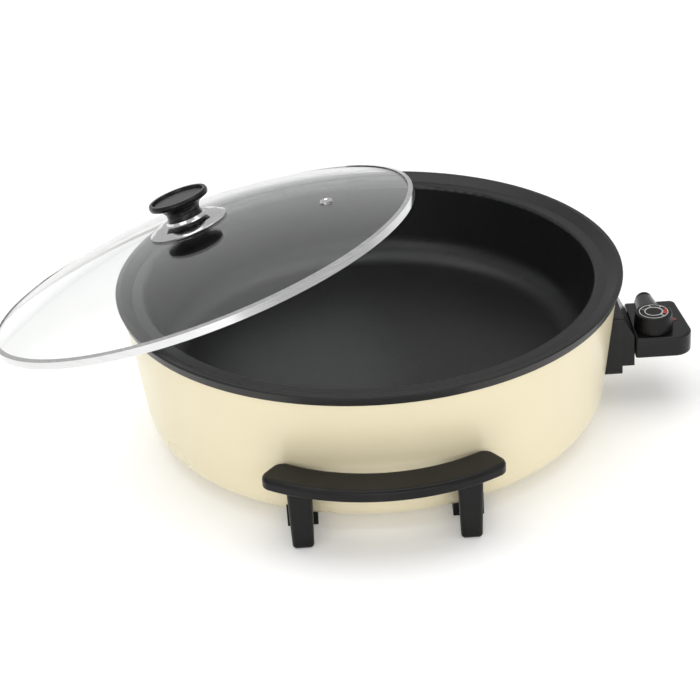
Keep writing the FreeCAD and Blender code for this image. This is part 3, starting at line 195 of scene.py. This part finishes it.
def clear_glass():
    """Tempered soda-lime glass: clear, very slightly green, with a faint waviness."""
    material, tree, shader = new_material("tempered_glass")
    shader.inputs["Base Color"].default_value = (0.97, 0.985, 0.98, 1.0)
    shader.inputs["Transmission Weight"].default_value = 1.0
    shader.inputs["IOR"].default_value = 1.45
    wave = texture(tree, "ShaderNodeTexNoise", Scale=12.0, Detail=1.0)
    tree.links.new(spread(tree, wave.outputs["Fac"], 0.0, 0.012), shader.inputs["Roughness"])
    bump(tree, shader, wave.outputs["Fac"], 0.02, 0.0004)
    return material


def see_through(material, share=0.9):
    """Let lamp light through the glass, so that its shadow stays pale."""
    tree = material.node_tree
    shader = tree.nodes["Principled BSDF"]
    output = tree.nodes["Material Output"]
    clear = tree.nodes.new("ShaderNodeBsdfTransparent")
    mix = tree.nodes.new("ShaderNodeMixShader")
    path = tree.nodes.new("ShaderNodeLightPath")
    scaled = tree.nodes.new("ShaderNodeMath")
    scaled.operation = "MULTIPLY"
    scaled.inputs[1].default_value = share
    tree.links.new(path.outputs["Is Shadow Ray"], scaled.inputs[0])
    tree.links.new(scaled.outputs["Value"], mix.inputs["Fac"])
    tree.links.new(shader.outputs["BSDF"], mix.inputs[1])
    tree.links.new(clear.outputs["BSDF"], mix.inputs[2])
    tree.links.new(mix.outputs["Shader"], output.inputs["Surface"])
    return material


def red_lens():
    material, tree, shader = new_material("red_lens")
    cloud = texture(tree, "ShaderNodeTexNoise", Scale=400.0)
    tint = ramp(tree, cloud.outputs["Fac"], 0.3, 0.7, ((0.09, 0.006, 0.005), (0.14, 0.008, 0.006)))
    tree.links.new(tint.outputs["Color"], shader.inputs["Base Color"])
    shader.inputs["Roughness"].default_value = 0.12
    shader.inputs["Coat Weight"].default_value = 0.6
    return material


def printed(name, colour):
    """Ink of a printed mark, a little uneven."""
    material, tree, shader = new_material(name)
    cloud = texture(tree, "ShaderNodeTexNoise", Scale=900.0, Detail=2.0)
    faded = tuple(part * 0.85 for part in colour)
    tint = ramp(tree, cloud.outputs["Fac"], 0.3, 0.7, (faded, colour))
    tree.links.new(tint.outputs["Color"], shader.inputs["Base Color"])
    shader.inputs["Roughness"].default_value = 0.45
    return material


finishes = {
    "cream": cream_paint(),
    "non_stick": non_stick(),
    "stand_plastic": moulded_black("stand_plastic", (0.005, 0.005, 0.005), 0.3),
    "control_plastic": moulded_black("control_plastic", (0.005, 0.005, 0.0055), 0.24,
                                     strength=0.12, shine=0.3),
    "dial_plastic": moulded_black("dial_plastic", (0.004, 0.004, 0.0045), 0.34, 1800.0, 0.25),
    "knob_plastic": moulded_black("knob_plastic", (0.004, 0.004, 0.0045), 0.22, 1600.0, 0.08,
                                  shine=0.3),
    "block_plastic": moulded_black("block_plastic", (0.04, 0.033, 0.028), 0.5),
    "face_plastic": moulded_black("face_plastic", (0.007, 0.007, 0.0075), 0.34, 2400.0, 0.12),
    "rubber": moulded_black("soft_rubber", (0.014, 0.014, 0.014), 0.6, 700.0, 0.4),
    "silicone": moulded_black("white_silicone", (0.6, 0.6, 0.57), 0.5, 700.0, 0.2),
    "polished": steel("polished_steel", (0.8, 0.8, 0.8), 0.09, (1.0, 1.0, 30.0), 0.03),
    "zinc": steel("zinc_plate", (0.6, 0.61, 0.63), 0.3, (4.0, 4.0, 4.0), 0.15),
    "brass": steel("contact_brass", (0.72, 0.56, 0.28), 0.28, (1.0, 8.0, 8.0), 0.1),
    "base_sheet": steel("base_sheet", (0.42, 0.42, 0.43), 0.38, (1.0, 30.0, 1.0), 0.12),
    "heater": steel("heater_sheath", (0.24, 0.235, 0.23), 0.5, (6.0, 6.0, 6.0), 0.2),
    "spreader": steel("rolled_aluminium", (0.68, 0.68, 0.69), 0.34, (1.0, 30.0, 1.0), 0.1),
    "glass": see_through(clear_glass()),
    "red_lens": red_lens(),
    "lamp": moulded_black("lamp_glass", (0.6, 0.4, 0.28), 0.12, 500.0, 0.05, 0.5),
    "white_print": printed("white_print", (0.78, 0.78, 0.77)),
    "red_print": printed("red_print", (0.5, 0.02, 0.015)),
}

finish_of_node = {
    "inner_pan": "non_stick", "outer_shell": "cream", "base_plate": "base_sheet",
    "heating_element": "heater", "heater_clamp_plate": "spreader", "pan_studs": "zinc",
    "clamp_nuts": "zinc", "base_nuts": "zinc", "front_handle_stand": "stand_plastic",
    "rear_handle_stand": "stand_plastic", "stand_screws": "zinc", "stand_nuts": "zinc",
    "socket_housing": "control_plastic", "terminal_pins": "brass", "sensor_well": "zinc",
    "control_lower_shell": "control_plastic", "control_upper_shell": "control_plastic",
    "contact_block": "block_plastic", "contact_sleeves": "brass", "sensor_tube": "polished",
    "contact_leaves": "brass", "indicator_lamp": "lamp", "indicator_lens": "red_lens",
    "control_screws": "zinc", "cord_gland": "rubber", "dial_knob": "dial_plastic",
    "dial_face": "face_plastic", "dial_spindle": "zinc", "lid_glass": "glass",
    "lid_band": "polished", "vent_grommet": "polished", "knob_base_plate": "polished",
    "knob_ring": "polished", "lid_knob": "knob_plastic", "knob_cap": "knob_plastic",
    "lid_washer": "silicone", "lid_bolt": "zinc",
}


def dress_nodes():
    """Give each solid of the frame its finish."""
    for name, finish in finish_of_node.items():
        slots = nodes[name].material_slots
        if not slots:
            nodes[name].data.materials.append(finishes[finish])
        for slot in slots:
            slot.material = finishes[finish]


def smooth_nodes():
    """Shade the solids' curved faces smooth and keep their edges sharp."""
    for node in nodes.values():
        for face in node.data.polygons:
            face.use_smooth = True
        node.data.set_sharp_from_angle(angle=math.radians(28.0))


def piece_from(form, name, body, finish, smooth=True):
    """Turn a bmesh in the shared frame into a piece that rides on a body."""
    mesh = bpy.data.meshes.new(name)
    bmesh.ops.remove_doubles(form, verts=form.verts, dist=1e-6)
    bmesh.ops.recalc_face_normals(form, faces=form.faces)
    form.to_mesh(mesh)
    form.free()
    if smooth:
        for face in mesh.polygons:
            face.use_smooth = True
        mesh.set_sharp_from_angle(angle=math.radians(35.0))
    mesh.materials.append(finishes[finish])
    obj = bpy.data.objects.new(name, mesh)
    bpy.context.scene.collection.objects.link(obj)
    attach(obj, body)
    return obj


def set_camera():
    data = bpy.data.cameras.new("photo_view")
    data.sensor_width = 36.0
    data.lens = data.sensor_width * FOCAL_PIXELS / FRAME_PIXELS
    right = Vector((1.0, 0.0, 0.0))
    up = Vector((0.0, math.sin(ELEVATION), math.cos(ELEVATION)))
    ahead = Vector((0.0, math.cos(ELEVATION), -math.sin(ELEVATION)))
    aim = REFERENCE - (right * OFFSET_RIGHT + up * OFFSET_UP) / PIXELS_PER_METRE
    spot = aim - ahead * FOCAL_PIXELS / PIXELS_PER_METRE
    across = right * math.cos(ROLL) - up * math.sin(ROLL)
    upward = right * math.sin(ROLL) + up * math.cos(ROLL)
    camera = bpy.data.objects.new("photo_view", data)
    turned = Matrix((across, upward, -ahead)).transposed().to_4x4()
    camera.matrix_world = Matrix.Translation(spot) @ turned
    bpy.context.scene.collection.objects.link(camera)
    bpy.context.scene.camera = camera


def backdrop_material():
    """Pale and taking the object's shadow nearby, and white to the camera further away."""
    material = bpy.data.materials.new("pale_floor")
    material.use_nodes = True
    tree = material.node_tree
    shader = tree.nodes["Principled BSDF"]
    shader.inputs["Base Color"].default_value = (0.93, 0.93, 0.93, 1.0)
    shader.inputs["Roughness"].default_value = 0.9
    shader.inputs["Specular IOR Level"].default_value = 0.1
    shader.inputs["Emission Color"].default_value = (1.0, 1.0, 1.0, 1.0)
    where = tree.nodes.new("ShaderNodeTexCoord")
    away = tree.nodes.new("ShaderNodeVectorMath")
    away.operation = "LENGTH"
    tree.links.new(where.outputs["Object"], away.inputs[0])
    rise = tree.nodes.new("ShaderNodeMapRange")
    rise.inputs["From Min"].default_value = GLOW_STARTS
    rise.inputs["From Max"].default_value = GLOW_FULL
    tree.links.new(away.outputs["Value"], rise.inputs["Value"])
    path = tree.nodes.new("ShaderNodeLightPath")
    seen = tree.nodes.new("ShaderNodeMath")
    seen.operation = "MULTIPLY_ADD"
    tree.links.new(rise.outputs["Result"], seen.inputs[0])
    tree.links.new(path.outputs["Is Camera Ray"], seen.inputs[1])
    seen.inputs[2].default_value = FLOOR_GLOW
    tree.links.new(seen.outputs["Value"], shader.inputs["Emission Strength"])
    return material


def set_floor():
    form = bmesh.new()
    bmesh.ops.create_grid(form, x_segments=1, y_segments=1, size=6.0)
    mesh = bpy.data.meshes.new("floor")
    form.to_mesh(mesh)
    form.free()
    mesh.materials.append(backdrop_material())
    floor = bpy.data.objects.new("floor", mesh)
    bpy.context.scene.collection.objects.link(floor)


def area_lamp(name, spot, aim, width, height, watts):
    data = bpy.data.lights.new(name, "AREA")
    data.shape = "RECTANGLE"
    data.size = width
    data.size_y = height
    data.energy = watts
    lamp = bpy.data.objects.new(name, data)
    direction = Vector(aim) - Vector(spot)
    lamp.rotation_mode = "QUATERNION"
    lamp.rotation_quaternion = direction.to_track_quat("-Z", "Y")
    lamp.location = spot
    bpy.context.scene.collection.objects.link(lamp)


def set_light():
    """Large soft boxes over and beside the object, and a pale room."""
    middle = (0.0, 0.0, 0.1)
    area_lamp("top_box", (0.0, 0.1, 1.7), middle, 2.0, 1.6, 16.0)
    area_lamp("front_box", (-0.9, -1.6, 1.1), middle, 1.4, 1.0, 5.0)
    area_lamp("right_box", (1.5, -0.6, 0.8), middle, 0.9, 1.1, 2.2)
    area_lamp("low_front_box", (0.3, -1.9, 0.55), middle, 1.8, 0.7, 7.5)
    world = bpy.data.worlds.new("pale_room")
    world.use_nodes = True
    tree = world.node_tree
    room = tree.nodes["Background"]
    room.inputs["Color"].default_value = (1.0, 1.0, 1.0, 1.0)
    room.inputs["Strength"].default_value = 0.55
    seen = tree.nodes.new("ShaderNodeBackground")
    seen.inputs["Color"].default_value = (1.0, 1.0, 1.0, 1.0)
    seen.inputs["Strength"].default_value = 1.0
    path = tree.nodes.new("ShaderNodeLightPath")
    either = tree.nodes.new("ShaderNodeMath")
    either.operation = "MAXIMUM"
    tree.links.new(path.outputs["Is Camera Ray"], either.inputs[0])
    tree.links.new(path.outputs["Is Transmission Ray"], either.inputs[1])
    mix = tree.nodes.new("ShaderNodeMixShader")
    tree.links.new(either.outputs["Value"], mix.inputs["Fac"])
    tree.links.new(room.outputs["Background"], mix.inputs[1])
    tree.links.new(seen.outputs["Background"], mix.inputs[2])
    tree.links.new(mix.outputs["Shader"], tree.nodes["World Output"].inputs["Surface"])
    bpy.context.scene.world = world
    bpy.context.scene.view_settings.view_transform = "Standard"


# Dial: the axis of its joint and the top of its printed face
DIAL_AXIS = Vector(joints["dial_turn"]["pos_m"])
DIAL_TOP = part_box("dial_face")[1].z
FACE_RADIUS = (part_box("dial_face")[1].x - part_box("dial_face")[0].x) / 2
PRINT_THICK = 0.00012
PRINT_SINK = PRINT_THICK / 4

# The scale runs clockwise from the rear left and ends in a red arc
SCALE_START = 150.0
SCALE_SWEEP = 200.0
TICKS = 21
TICK_LONG = 0.0009
TICK_WIDE = 0.00022
NUMBERS = ("1", "2", "3", "4", "5")
NUMBER_HIGH = 0.0034


def on_scale(index, count):
    """Angle of one of so many evenly spaced places on the dial's scale."""
    return math.radians(SCALE_START - index * SCALE_SWEEP / (count - 1))


def on_face(turned, reach):
    """A place in the print's plane at an angle and a distance from the dial's axis."""
    across = Vector((math.cos(turned), math.sin(turned), 0.0)) * reach
    return Vector((DIAL_AXIS.x, DIAL_AXIS.y, DIAL_TOP + PRINT_SINK)) + across


def ring_print(name, radius, width, start=0.0, sweep=360.0, finish="white_print"):
    """A thin printed ring, or a part of one, on the dial's face."""
    form = bmesh.new()
    low = DIAL_TOP - PRINT_SINK
    high = low + PRINT_THICK
    corners = [(radius, low), (radius + width, low), (radius + width, high), (radius, high)]
    vertices = [form.verts.new((DIAL_AXIS.x + across, DIAL_AXIS.y, up)) for across, up in corners]
    face = form.faces.new(vertices)
    turned = Matrix.Rotation(math.radians(start), 3, "Z")
    bmesh.ops.rotate(form, verts=form.verts, cent=DIAL_AXIS, matrix=turned)
    whole = sweep >= 360.0
    profile = [face]
    if whole:
        form.faces.remove(face)
        profile = form.edges[:]
    bmesh.ops.spin(form, geom=profile, cent=DIAL_AXIS, axis=(0.0, 0.0, 1.0),
                   angle=math.radians(sweep), steps=max(6, int(sweep / 5.0)), use_merge=whole)
    return piece_from(form, name, "dial", finish, smooth=False)


def tick_prints():
    """Short marks all along the dial's scale."""
    form = bmesh.new()
    for index in range(TICKS):
        turned = on_scale(index, TICKS)
        place = Matrix.Translation(on_face(turned, FACE_RADIUS * 0.67))
        place = place @ Matrix.Rotation(turned, 4, "Z")
        place = place @ Matrix.Diagonal((TICK_LONG, TICK_WIDE, PRINT_THICK, 1.0))
        bmesh.ops.create_cube(form, size=1.0, matrix=place)
    piece_from(form, "dial_ticks", "dial", "white_print", smooth=False)


def number_form(text):
    """A raised plain number as a mesh form, in its own plane."""
    curve = bpy.data.curves.new("dial_number", "FONT")
    curve.body = text
    curve.size = NUMBER_HIGH
    curve.align_x = "CENTER"
    curve.align_y = "CENTER"
    curve.extrude = PRINT_THICK / 2
    curve.resolution_u = 3
    shown = bpy.data.objects.new("dial_number", curve)
    bpy.context.scene.collection.objects.link(shown)
    bpy.context.view_layer.update()
    evaluated = shown.evaluated_get(bpy.context.evaluated_depsgraph_get())
    form = bmesh.new()
    form.from_mesh(evaluated.to_mesh())
    evaluated.to_mesh_clear()
    bpy.data.objects.remove(shown)
    return form


def number_prints():
    """Plain numbers round the dial, small and upright from the centre."""
    for index, text in enumerate(NUMBERS):
        turned = on_scale(index, len(NUMBERS))
        form = number_form(text)
        place = Matrix.Translation(on_face(turned, FACE_RADIUS * 0.8))
        place = place @ Matrix.Rotation(turned - math.pi / 2, 4, "Z")
        bmesh.ops.transform(form, matrix=place, verts=form.verts)
        name = "dial_number_" + text
        piece_from(form, name, "dial", "white_print", smooth=False)


dress_nodes()
smooth_nodes()
ring_print("dial_outer_ring", FACE_RADIUS * 0.94, 0.0005)
ring_print("dial_inner_ring", FACE_RADIUS * 0.56, 0.0006)
ring_print("dial_hot_arc", FACE_RADIUS * 0.72, FACE_RADIUS * 0.18, -26.0, 44.0, "red_print")
tick_prints()
number_prints()
set_camera()
set_floor()
set_light()
